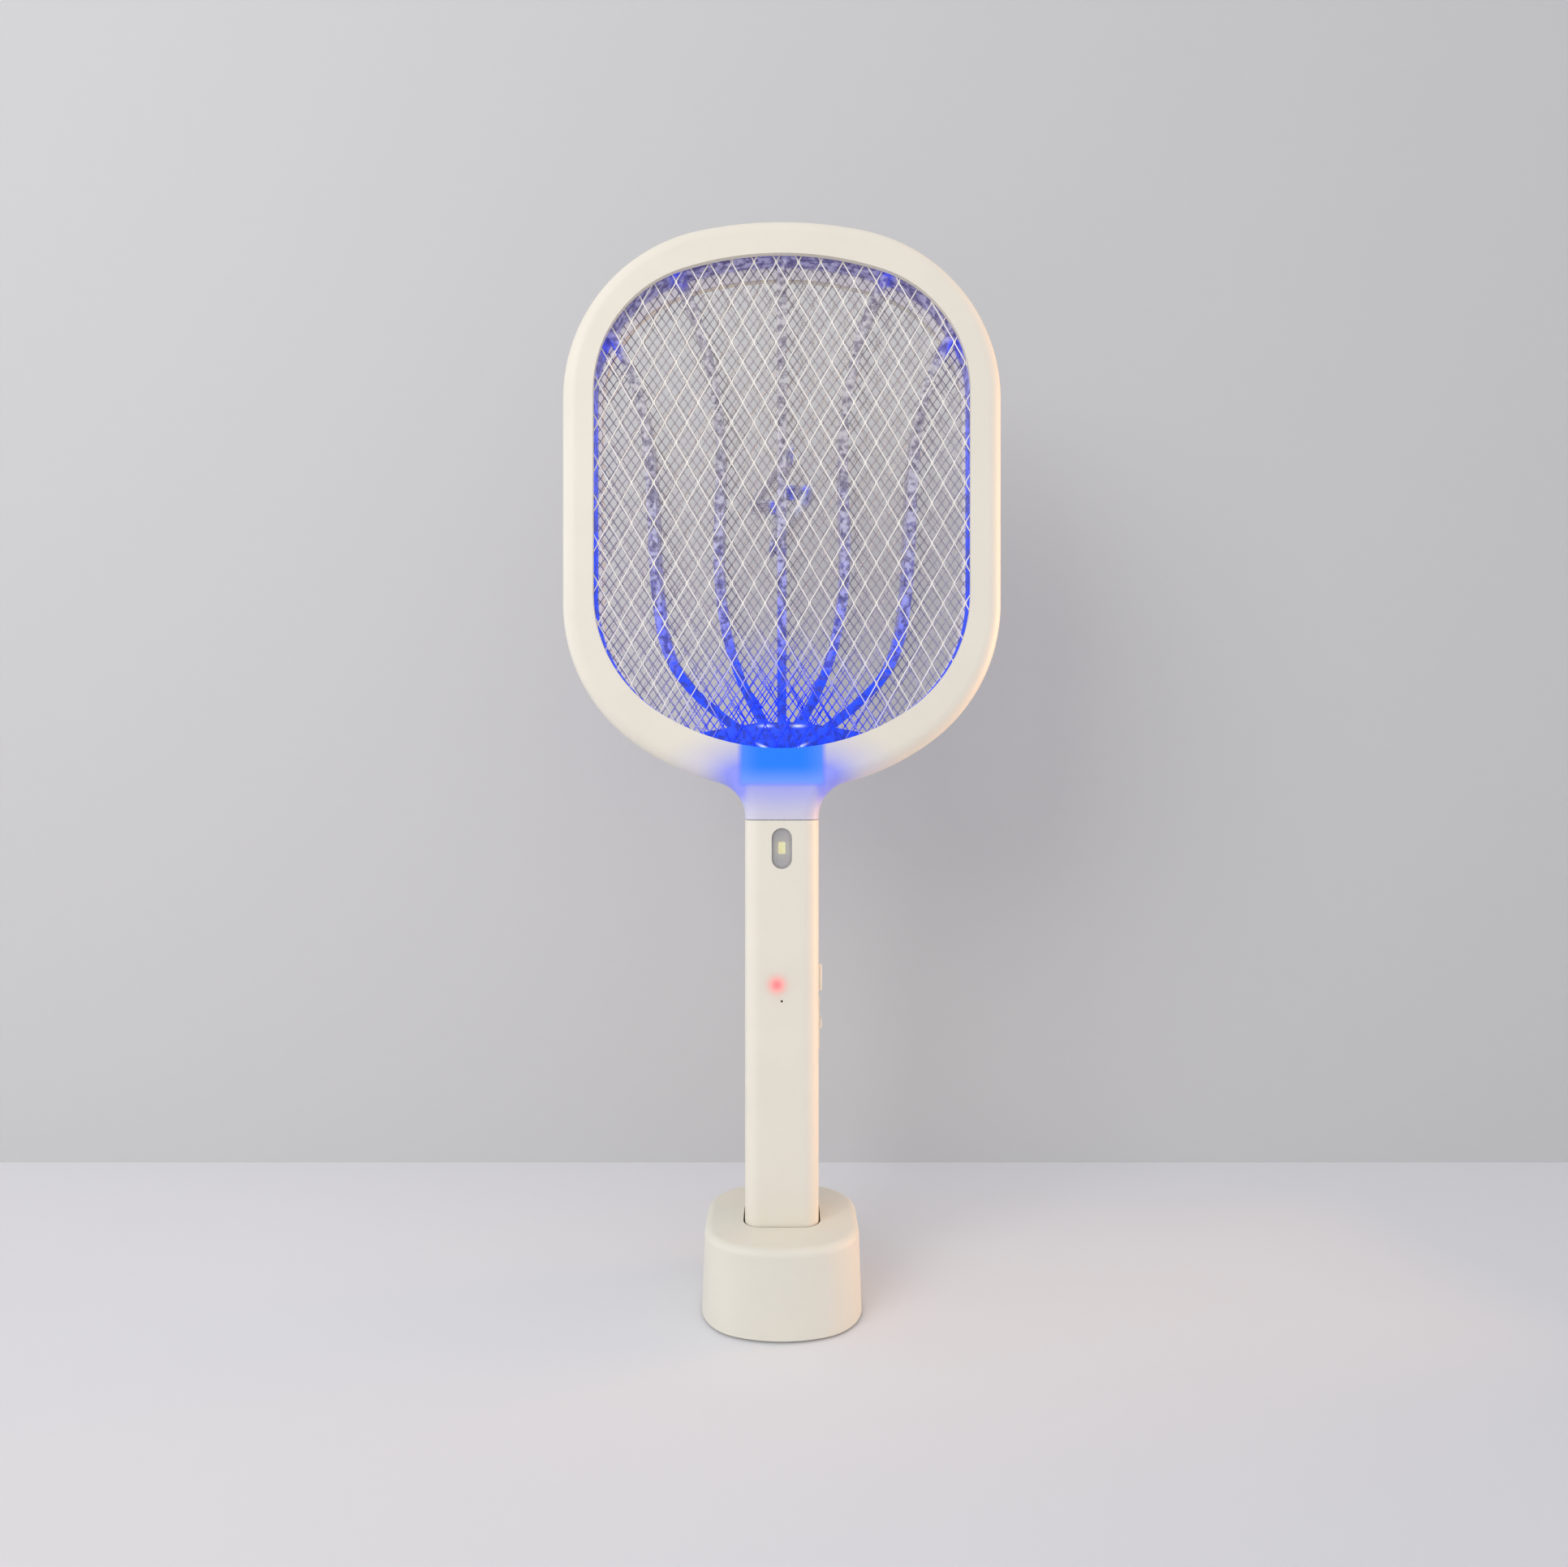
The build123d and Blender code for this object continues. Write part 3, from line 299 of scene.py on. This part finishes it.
def guide_acrylic():
    """Clear light guide with the lamp's light painted on as glow: deep blue near the lamp, lavender above it
    and clear at the top.
    """
    made, tree, shader = material("guide_acrylic", IOR=1.49, Specular_IOR_Level=0.6)
    coordinates, (x, y, z) = tree.place()
    side = abs(x)
    height = z - HEAD_MIDDLE_Z
    ring = (side / OPENING_HALF_WIDTH) ** 2.6 + (abs(height) / OPENING_HALF_HEIGHT) ** 2.6
    ring = ring.rise(0.93, 1.02)
    # painted light: the ring's rear half is painted pale with a faint pale glow, and its top is given less
    # glow and a darker lavender
    behind = ring * y.rise(-1 * MM, 1 * MM)
    crown = ring * height.rise(20 * MM, 90 * MM)
    ring = ring - behind
    speck = tree.noise(coordinates, 330, 3)
    drift = tree.noise(coordinates, 80, 3)
    # painted light and shade: light and dark speckles along the bars, standing in for light refracted by the
    # clear bars and broken by the mesh in front
    painted_light_speckle = speck.rise(0.38, 0.62)
    # painted glow: lamp light fading with height, strong on the lower bars and faint on the upper ones
    low = 1 - (z + (drift - 0.5) * 50 * MM).rise(262 * MM, 350 * MM)
    high = 1 - (z + (drift - 0.5) * 30 * MM).rise(330 * MM, 415 * MM)
    mark = side.rise(1.6 * MM, 2.4 * MM) * (1 - side.rise(16 * MM, 17 * MM)) * z.rise(352 * MM, 354 * MM)
    mark = mark * (1 - z.rise(406 * MM, 408 * MM))
    # painted glow: spots of blue light
    blobs = 0.0
    for blob_x, blob_z, blob_size in (
        (-49, 476, 3.5), (49, 476, 3.5), (-79, 441, 4), (79, 441, 4),
        (5, 394, 1.6), (4, 376, 2), (11, 376, 2), (-4, 369, 1.8), (-6, 355, 1.4),
    ):
        gap = ((x - blob_x * MM) ** 2 + (z - blob_z * MM) ** 2).math("SQRT")
        blobs = gap.bell(blob_size * MM) + blobs
    # painted glow around the lamp hub, with radial stripes of painted light
    hub = 1 - ((x / (42 * MM)) ** 2 + ((z - 252 * MM) / (18 * MM)) ** 2).math("SQRT").rise(0.7, 1.1)
    radial_glow = (x.math("ARCTAN2", z - 247 * MM) * 26).math("SINE").rise(0.4, 1.0) * hub
    own = (low * 0.9 + high * (painted_light_speckle * 0.3 + 0.1)) * (1 - mark * 0.85)
    lit = ((own + blobs * 0.8 + hub) * (1 - behind) + ring * (0.75 - crown * 0.35)).low(1.0)
    hue = tree.mix((low + high * 0.3 + ring - crown + blobs * 0.6 + hub).low(1.0),
                   rgb(84, 76, 168), rgb(0, 66, 255))
    dark = tree.mix(painted_light_speckle, rgb(2, 10, 80), rgb(4, 34, 150))
    dark = tree.mix((crown * 0.8).low(1.0), dark, rgb(74, 66, 140))
    # unlit clear parts: light and dark painted speckles, and the rear ring painted pale
    clear = tree.mix(painted_light_speckle, rgb(128, 120, 156), rgb(250, 247, 252))
    clear = tree.mix(behind, clear, rgb(214, 210, 214))
    link(tree, tree.mix(lit, clear, dark), shader, "Base Color")
    # painted glow: emission for the lit parts, the radial stripes and a faint pale glow on the rear ring
    power = lit * (painted_light_speckle * 0.55 + 0.45) + radial_glow * 0.25
    shine = tree.mix(power.low(1.0), tree.mix(behind, BLACK, rgb(132, 129, 136)), hue)
    glint = 0.0
    for glint_x, glint_z, tilt, reach in (
        (-7.5, 267.4, 0.0, 2.5), (7.5, 267.4, 0.0, 2.5), (-8.5, 257.9, -0.45, 2.5), (8.5, 257.9, 0.45, 2.5),
        (7.0, 369.5, 1.3, 3.5),
    ):
        along = x - glint_x * MM
        across = z - glint_z * MM - along * tilt
        glint = (along * (0.5 / reach)).bell(0.5 * MM) * across.bell(0.6 * MM) + glint
    link(tree, tree.mix(glint.low(1.0), shine, rgb(225, 235, 255)), shader, "Emission Color")
    shader.inputs["Emission Strength"].default_value = 0.95
    facing = tree.add("ShaderNodeLayerWeight", {"Blend": 0.5})
    edges = tree.number(facing, 1).rise(0.15, 0.75)
    link(tree, speck * 0.25 + lit * 0.25 + 0.08, shader, "Roughness")
    cover = (edges * 0.6 + lit * 0.75 + painted_light_speckle * 0.25 + glint + 0.2) * (1 - mark * (1 - lit) * 0.5) + behind
    link(tree, cover.low(0.97), shader, "Alpha")
    bump(tree, shader, speck, 0.4 * MM, 0.8)
    return made


def wire_metal(name, colour, glow, metallic):
    """Bright expanded metal, lit blue by the lamp at the foot of the opening."""
    made, tree, shader = material(name, Metallic=metallic, Specular_IOR_Level=0.6)
    coordinates, (x, _, z) = tree.place()
    patch = tree.noise(coordinates, 120, 2)
    fine = tree.noise(coordinates, 1800, 2)
    reach = ((x / (42 * MM)) ** 2 + ((z - 256 * MM) / (40 * MM)) ** 2).math("SQRT")
    lit = (1 - reach.rise(0.2, 1.6)) ** 1.3
    base = tree.mix(patch.rise(0.35, 0.65), dimmed(colour, 0.88), colour)
    link(tree, tree.mix((lit * 1.4).low(1.0), base, rgb(8, 36, 170)), shader, "Base Color")
    link(tree, fine * 0.2 + 0.25, shader, "Roughness")
    link(tree, tree.mix(lit, BLACK, rgb(20, 60, 255)), shader, "Emission Color")
    shader.inputs["Emission Strength"].default_value = glow
    bump(tree, shader, fine, 0.02 * MM, 0.4)
    return made


def plated_steel(name, colour=rgb(200, 200, 203)):
    made, tree, shader = material(name, Metallic=1.0)
    coordinates, _ = tree.place()
    fine = tree.noise(coordinates, 1500, 3)
    link(tree, tree.mix(fine, dimmed(colour, 0.85), colour), shader, "Base Color")
    link(tree, fine * 0.2 + 0.22, shader, "Roughness")
    bump(tree, shader, fine, 0.02 * MM, 0.5)
    return made


def soft_rubber():
    made, tree, shader = material("soft_rubber", Specular_IOR_Level=0.3)
    coordinates, _ = tree.place()
    fine = tree.noise(coordinates, 900, 3)
    link(tree, tree.mix(fine, rgb(26, 26, 27), rgb(44, 43, 43)), shader, "Base Color")
    link(tree, fine * 0.15 + 0.7, shader, "Roughness")
    bump(tree, shader, fine, 0.05 * MM, 0.6)
    return made


def clear_lens(name, alpha=0.3):
    made, tree, shader = material(name, IOR=1.49, Specular_IOR_Level=0.7)
    coordinates, _ = tree.place()
    facing = tree.number(tree.add("ShaderNodeLayerWeight", {"Blend": 0.4}), 1)
    fine = tree.noise(coordinates, 300, 2)
    link(tree, tree.mix(fine, rgb(205, 206, 212), rgb(228, 230, 236)), shader, "Base Color")
    link(tree, fine * 0.05 + 0.06, shader, "Roughness")
    link(tree, (facing * 0.5 + alpha).low(1.0), shader, "Alpha")
    return made


def lamp_chip(name, colour, edge_colour, strength):
    """Chip lamp: a bright phosphor with a paler edge."""
    made, tree, shader = material(name, Roughness=0.35)
    coordinates, _ = tree.place()
    speck = tree.noise(coordinates, 1400, 2)
    shown = tree.mix(speck.rise(0.35, 0.7), colour, edge_colour)
    link(tree, shown, shader, "Base Color")
    link(tree, shown, shader, "Emission Color")
    shader.inputs["Emission Strength"].default_value = strength
    return made


def circuit_board():
    """Green solder mask over fibre weave, with paler copper tracks under it."""
    made, tree, shader = material("circuit_board", Coat_Weight=0.4, Coat_Roughness=0.15)
    coordinates, (x, _, z) = tree.place()
    weave = (x * 6000).math("SINE") * (z * 6000).math("SINE")
    tracks = tree.noise(coordinates, 160, 0).rise(0.52, 0.54)
    base = tree.mix(tracks, rgb(18, 84, 48), rgb(34, 116, 66))
    link(tree, base, shader, "Base Color")
    link(tree, tracks * 0.1 + 0.35, shader, "Roughness")
    bump(tree, shader, tracks + weave * 0.1, 0.03 * MM, 0.6)
    return made


def paint_inner_parts():
    """Finishes for the CAD nodes that keep their own shape."""
    steel = plated_steel("zinc_plated_steel")
    gold = plated_steel("gold_flash", rgb(222, 184, 108))
    board = circuit_board()
    black = moulded_plastic("black_plastic", rgb(30, 30, 32), 0.5)[0]
    red_lead = moulded_plastic("red_insulation", rgb(170, 30, 28), 0.5)[0]
    pairs = {
        "head_screws handle_screws base_screws base_ballast battery_tabs slide_switch_body usb_c_socket"
        " dock_spring_left dock_spring_right": steel,
        "dock_pin_left dock_pin_right dock_pin_barrels charge_contacts": gold,
        "main_board lamp_board dock_board": board,
        "board_diodes push_switch_body push_switch_plunger slide_switch_actuator": black,
        "lamp_leads high_voltage_leads battery_leads charge_leads": red_lead,
        "base_feet": soft_rubber(),
        "battery_cell": moulded_plastic("cell_sleeve", rgb(50, 96, 160), 0.3)[0],
        "step_up_transformer": moulded_plastic("winding_tape", rgb(196, 164, 66), 0.5)[0],
        "high_voltage_capacitors": moulded_plastic("dipped_epoxy", rgb(150, 38, 30), 0.3)[0],
        "light_lens": clear_lens("torch_lens", 0.3),
        "lamp_lens indicator_guide": clear_lens("inner_lens", 0.4),
        "light_reflector light_board": moulded_plastic("reflector_grey", rgb(222, 214, 212), 0.3)[0],
        # painted light: the unlit torch chip is given a weak glow that brightens it in shade
        "light_led": lamp_chip("torch_phosphor", rgb(236, 226, 120), rgb(250, 246, 180), 0.7),
        "lamp_leds": lamp_chip("lamp_blue", rgb(30, 80, 255), rgb(120, 160, 255), 3.0),
        "indicator_led": lamp_chip("indicator_red", rgb(255, 40, 50), rgb(255, 120, 120), 2.0),
    }
    for names, finish in pairs.items():
        for name in names.split():
            paint(name, finish)


def paint(name, finish):
    """Gives a CAD node this finish."""
    mesh = nodes[name].data
    mesh.materials.clear()
    mesh.materials.append(finish)


# Pieces that stand in for a CAD node

def stand_in(node, name, body, finish):
    """Copy of a CAD node in that node's place."""
    mesh = nodes[node].data.copy()
    mesh.materials.clear()
    mesh.materials.append(finish)
    piece = bpy.data.objects.new(name, mesh)
    bpy.context.scene.collection.objects.link(piece)
    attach(piece, body)
    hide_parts(node)
    return piece


def dock_spring(side):
    """Spring under a charging pin, as a copy with a mesh of its own."""
    node = f"dock_spring_{side}"
    finish = bpy.data.materials["zinc_plated_steel"]
    piece = stand_in(node, f"{side}_pin_spring", "base", finish)
    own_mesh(piece)


def rounded(node, name, body, radius, finish):
    """Copy of a CAD node with its sharp edges rounded, in that node's place."""
    piece = stand_in(node, name, body, finish)
    mesh = piece.data
    work = bmesh.new()
    work.from_mesh(mesh)
    bmesh.ops.remove_doubles(work, verts=work.verts, dist=0.002 * MM)
    bmesh.ops.dissolve_limit(work, angle_limit=math.radians(0.5), verts=work.verts, edges=work.edges)
    sharp = [e for e in work.edges if e.is_manifold and e.calc_face_angle() > math.radians(40)]
    bmesh.ops.bevel(
        work, geom=sharp, offset=radius, segments=3, profile=0.5, affect="EDGES", clamp_overlap=True
    )
    for face in work.faces:
        face.smooth = True
    work.to_mesh(mesh)
    work.free()
    mesh.set_sharp_from_angle(angle=math.radians(50))
    return piece


# Meshes of zig-zag strands

def strand_tree():
    """Upright zig-zag strands that touch their neighbours, cut off where they meet the frame."""
    made = bpy.data.node_groups.new("zigzag_strands", "GeometryNodeTree")
    tree = Tree(made)
    sockets = [
        ("Frame", "NodeSocketObject"),
        ("Cell Width", "NodeSocketFloat"),
        ("Cell Height", "NodeSocketFloat"),
        ("Touch", "NodeSocketFloat"),
        ("Strand Radius", "NodeSocketFloat"),
        ("Sides", "NodeSocketInt"),
        ("Columns", "NodeSocketInt"),
        ("Points", "NodeSocketInt"),
        ("Depth", "NodeSocketFloat"),
        ("Search Depth", "NodeSocketFloat"),
        ("Middle", "NodeSocketFloat"),
        ("Shift", "NodeSocketFloat"),
        ("Material", "NodeSocketMaterial"),
    ]
    for name, kind in sockets:
        made.interface.new_socket(name, in_out="INPUT", socket_type=kind)
    made.interface.new_socket("Geometry", in_out="OUTPUT", socket_type="NodeSocketGeometry")
    given = tree.add("NodeGroupInput")
    width, height, touch, radius = (
        tree.number(given, name) for name in ("Cell Width", "Cell Height", "Touch", "Strand Radius")
    )
    columns, points, depth, search, centre, shift = (
        tree.number(given, name)
        for name in ("Columns", "Points", "Depth", "Search Depth", "Middle", "Shift")
    )
    line = tree.add("GeometryNodeCurvePrimitiveLine")
    strand = tree.add("GeometryNodeResampleCurve", {"Curve": line.outputs[0], "Count": points}, mode="COUNT")
    copies = tree.add(
        "GeometryNodeDuplicateElements",
        {"Geometry": strand.outputs[0], "Amount": columns},
        domain="SPLINE",
    )
    column = tree.number(copies, 1)
    step = tree.number(tree.add("GeometryNodeSplineParameter"), "Index")
    line_x = (column - (columns - 1) / 2) * width / 2 + shift
    bend = (step / 2).math("FLOOR") - (points / 4).math("FLOOR")
    free_z = bend * height / 2 + (step.math("MODULO", 2.0) - 0.5) * touch + centre
    start = tree.add("ShaderNodeCombineXYZ", {0: line_x, 1: search, 2: centre}).outputs[0]
    wall = tree.add(
        "GeometryNodeObjectInfo", {"Object": given.outputs["Frame"]}, transform_space="ORIGINAL"
    )
    limits = []
    for direction in (-1, 1):
        ray = tree.add(
            "GeometryNodeRaycast",
            {
                "Target Geometry": wall.outputs["Geometry"],
                "Source Position": start,
                "Ray Direction": (0, 0, direction),
                "Ray Length": 1.0,
            },
        )
        spot = tree.add("ShaderNodeSeparateXYZ", {0: ray.outputs["Hit Position"]})
        limits.append(tree.number(spot, 2))
    hit = tree.number(ray, "Is Hit")
    z = free_z.high(limits[0]).low(limits[1])
    turns = (z - centre) / (height / 2)
    nearest = turns.math("ROUND")
    off = abs(turns - nearest) * height / 2
    swing = (1 - (off - touch / 2).high(0.0) / (height / 4 - touch / 2)).high(0.0)
    way = 1 - 2 * (nearest + column).math("FLOORED_MODULO", 2.0)
    x = line_x + way * swing * (width / 4 - radius * 0.9)
    spare_length = abs(free_z - z) - height / 2 + 2 * (1 - hit)
    stored = tree.add(
        "GeometryNodeStoreNamedAttribute",
        {"Geometry": copies.outputs[0], "Name": "spare", "Value": spare_length},
        data_type="FLOAT",
        domain="POINT",
    )
    placed = tree.add(
        "GeometryNodeSetPosition",
        {
            "Geometry": stored.outputs[0],
            "Position": tree.add("ShaderNodeCombineXYZ", {0: x, 1: depth, 2: z}).outputs[0],
        },
    )
    spare = tree.number(tree.add("GeometryNodeInputNamedAttribute", {"Name": "spare"}, data_type="FLOAT"))
    kept = tree.add(
        "GeometryNodeDeleteGeometry",
        {"Geometry": placed.outputs[0], "Selection": spare.math("GREATER_THAN", 0.0)},
        domain="POINT",
    )
    profile = tree.add(
        "GeometryNodeCurvePrimitiveCircle",
        {"Resolution": given.outputs["Sides"], "Radius": radius},
    )
    solid = tree.add(
        "GeometryNodeCurveToMesh",
        {"Curve": kept.outputs[0], "Profile Curve": profile.outputs[0], "Fill Caps": True},
    )
    clean = tree.add("GeometryNodeMergeByDistance", {"Geometry": solid.outputs[0], "Distance": 0.01 * MM})
    real = tree.add("GeometryNodeRealizeInstances", {"Geometry": clean.outputs[0]})
    finish = tree.add(
        "GeometryNodeSetMaterial", {"Geometry": real.outputs[0], "Material": given.outputs["Material"]}
    )
    tree.add("NodeGroupOutput", {0: finish.outputs[0]})
    return made


def grown(name, tree, **inputs):
    """Plain mesh object that this geometry tree makes from these inputs."""
    holder = bpy.data.objects.new(name, bpy.data.meshes.new(name))
    bpy.context.scene.collection.objects.link(holder)
    modifier = holder.modifiers.new("made", "NODES")
    modifier.node_group = tree
    for item in tree.interface.items_tree:
        if item.in_out == "INPUT":
            modifier[item.identifier] = inputs[item.name.replace(" ", "_")]
    depsgraph = bpy.context.evaluated_depsgraph_get()
    mesh = bpy.data.meshes.new_from_object(holder.evaluated_get(depsgraph))
    holder.modifiers.remove(modifier)
    holder.data = mesh
    for attribute in [a for a in mesh.attributes if a.name == "spare"]:
        mesh.attributes.remove(attribute)
    return holder


def wire_mesh(tree, name, node, cell, radius, touch, sides, finish, shift=0.0):
    """One of the three meshes, in the depth and outline of its CAD sheet."""
    width, height = cell
    tall = edge("front_spacer", 2, True) - edge("front_spacer", 2, False)
    piece = grown(
        name,
        tree,
        Frame=nodes["head_front_frame"],
        Cell_Width=width,
        Cell_Height=height,
        Touch=touch,
        Strand_Radius=radius,
        Sides=sides,
        Columns=2 * round(2 * (OPENING_HALF_WIDTH + 4 * MM) / width) - 1,
        Points=4 * math.ceil(tall / height) + 4,
        Depth=middle(node, 1),
        Search_Depth=middle("front_guard_mesh", 1),
        Middle=HEAD_MIDDLE_Z,
        Shift=shift,
        Material=finish,
    )
    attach(piece, "swatter")
    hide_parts(node)
    return piece


def make_meshes():
    tree = strand_tree()
    guard = wire_metal("guard_wire_metal", rgb(252, 247, 240), 0.7, 0.15)
    live = wire_metal("live_wire_metal", rgb(200, 194, 198), 1.1, 0.4)
    wire_mesh(
        tree, "front_guard_wires", "front_guard_mesh",
        GUARD_CELL, GUARD_WIRE_RADIUS, GUARD_TOUCH, 8, guard,
    )
    wire_mesh(tree, "live_wires", "live_mesh", LIVE_CELL, LIVE_WIRE_RADIUS, LIVE_TOUCH, 4, live)
    wire_mesh(
        tree, "rear_guard_wires", "rear_guard_mesh",
        GUARD_CELL, GUARD_WIRE_RADIUS, GUARD_TOUCH, 8, guard, shift=REAR_GUARD_SHIFT,
    )


# Stage, lights and camera

def plane(name, corners, finish):
    mesh = bpy.data.meshes.new(name)
    mesh.from_pydata(corners, [], [list(range(len(corners)))])
    mesh.materials.append(finish)
    piece = bpy.data.objects.new(name, mesh)
    bpy.context.scene.collection.objects.link(piece)
    return piece


def make_stage():
    """Pale floor and a pale wall behind the base, which is clear when seen from its far side."""
    floor_finish, _, shader = material("stage_floor", Roughness=0.75, Specular_IOR_Level=0.2)
    shader.inputs["Base Color"].default_value = rgb(230, 230, 234)
    wall_finish, tree, shader = material("stage_wall", Roughness=0.85, Specular_IOR_Level=0.1)
    behind = tree.number(tree.add("ShaderNodeNewGeometry"), "Backfacing")
    link(tree, 1 - behind, shader, "Alpha")
    shader.inputs["Base Color"].default_value = rgb(205, 205, 206)
    far = STAGE_REACH
    floor_corners = [(-far, -far, 0), (far, -far, 0), (far, far, 0), (-far, far, 0)]
    wall_corners = [(-far, WALL_Y, 0), (far, WALL_Y, 0), (far, WALL_Y, far), (-far, WALL_Y, far)]
    plane("floor", floor_corners, floor_finish)
    plane("wall", wall_corners, wall_finish)


def area_light(name, place, target, size, power, spread, colour):
    light = bpy.data.lights.new(name, "AREA")
    light.shape = "RECTANGLE"
    light.size, light.size_y = size
    light.energy = power
    light.color = colour
    light.spread = math.radians(spread)
    holder = bpy.data.objects.new(name, light)
    holder.location = place
    holder.rotation_euler = (Vector(target) - Vector(place)).to_track_quat("-Z", "Y").to_euler()
    bpy.context.scene.collection.objects.link(holder)
    return holder


def make_lights():
    world = bpy.data.worlds.new("soft_room")
    world.use_nodes = True
    background = world.node_tree.nodes["Background"]
    background.inputs["Color"].default_value = (0.985, 0.985, 1.0, 1.0)
    background.inputs["Strength"].default_value = 0.78
    bpy.context.scene.world = world
    head = (0, 0, HEAD_MIDDLE_Z)
    area_light("key", (-0.9, -1.1, 1.0), head, (0.9, 0.9), 8.5, 180, (1.0, 0.98, 0.95))
    area_light("warm_side", (0.38, 0.04, 0.27), (0, -0.03, 0.25), (0.15, 0.5), 0.24, 50, (1.0, 0.55, 0.28))
    area_light("cool_side", (-0.38, 0.04, 0.27), (0, -0.03, 0.25), (0.15, 0.5), 0.03, 50, (0.82, 0.95, 1.0))


def make_camera():
    """Level camera in front, at the height of the upper handle."""
    camera = bpy.data.cameras.new("camera")
    camera.lens = 21.3
    camera.sensor_width = 36
    camera.clip_start = 0.01
    holder = bpy.data.objects.new("camera", camera)
    holder.location = CAMERA_PLACE
    holder.rotation_euler = (math.pi / 2, 0, 0)
    bpy.context.scene.collection.objects.link(holder)
    bpy.context.scene.camera = holder


make_camera()
make_stage()
make_lights()
make_meshes()
cream = moulded_plastic("cream_plastic", CREAM, 0.45)[0]
base_plastic = moulded_plastic("base_plastic", rgb(230, 226, 214), 0.5)[0]
paint("head_front_frame", head_plastic())
paint("handle_front_shell", handle_front_plastic())
for piece in ("head_rear_frame", "handle_rear_shell", "switch_bezel", "mode_slider_knob", "trigger_button"):
    paint(piece, cream)
for piece in ("base_shell", "well_liner", "base_bottom_cover", "contact_carrier"):
    paint(piece, base_plastic)
acrylic = guide_acrylic()
for place in ("front", "rear"):
    rounded(f"{place}_spacer", f"{place}_light_guide", "swatter", EDGE_RADIUS, acrylic)
paint_inner_parts()
for side in ("left", "right"):
    dock_spring(side)
bpy.context.scene.view_settings.view_transform = "Standard"
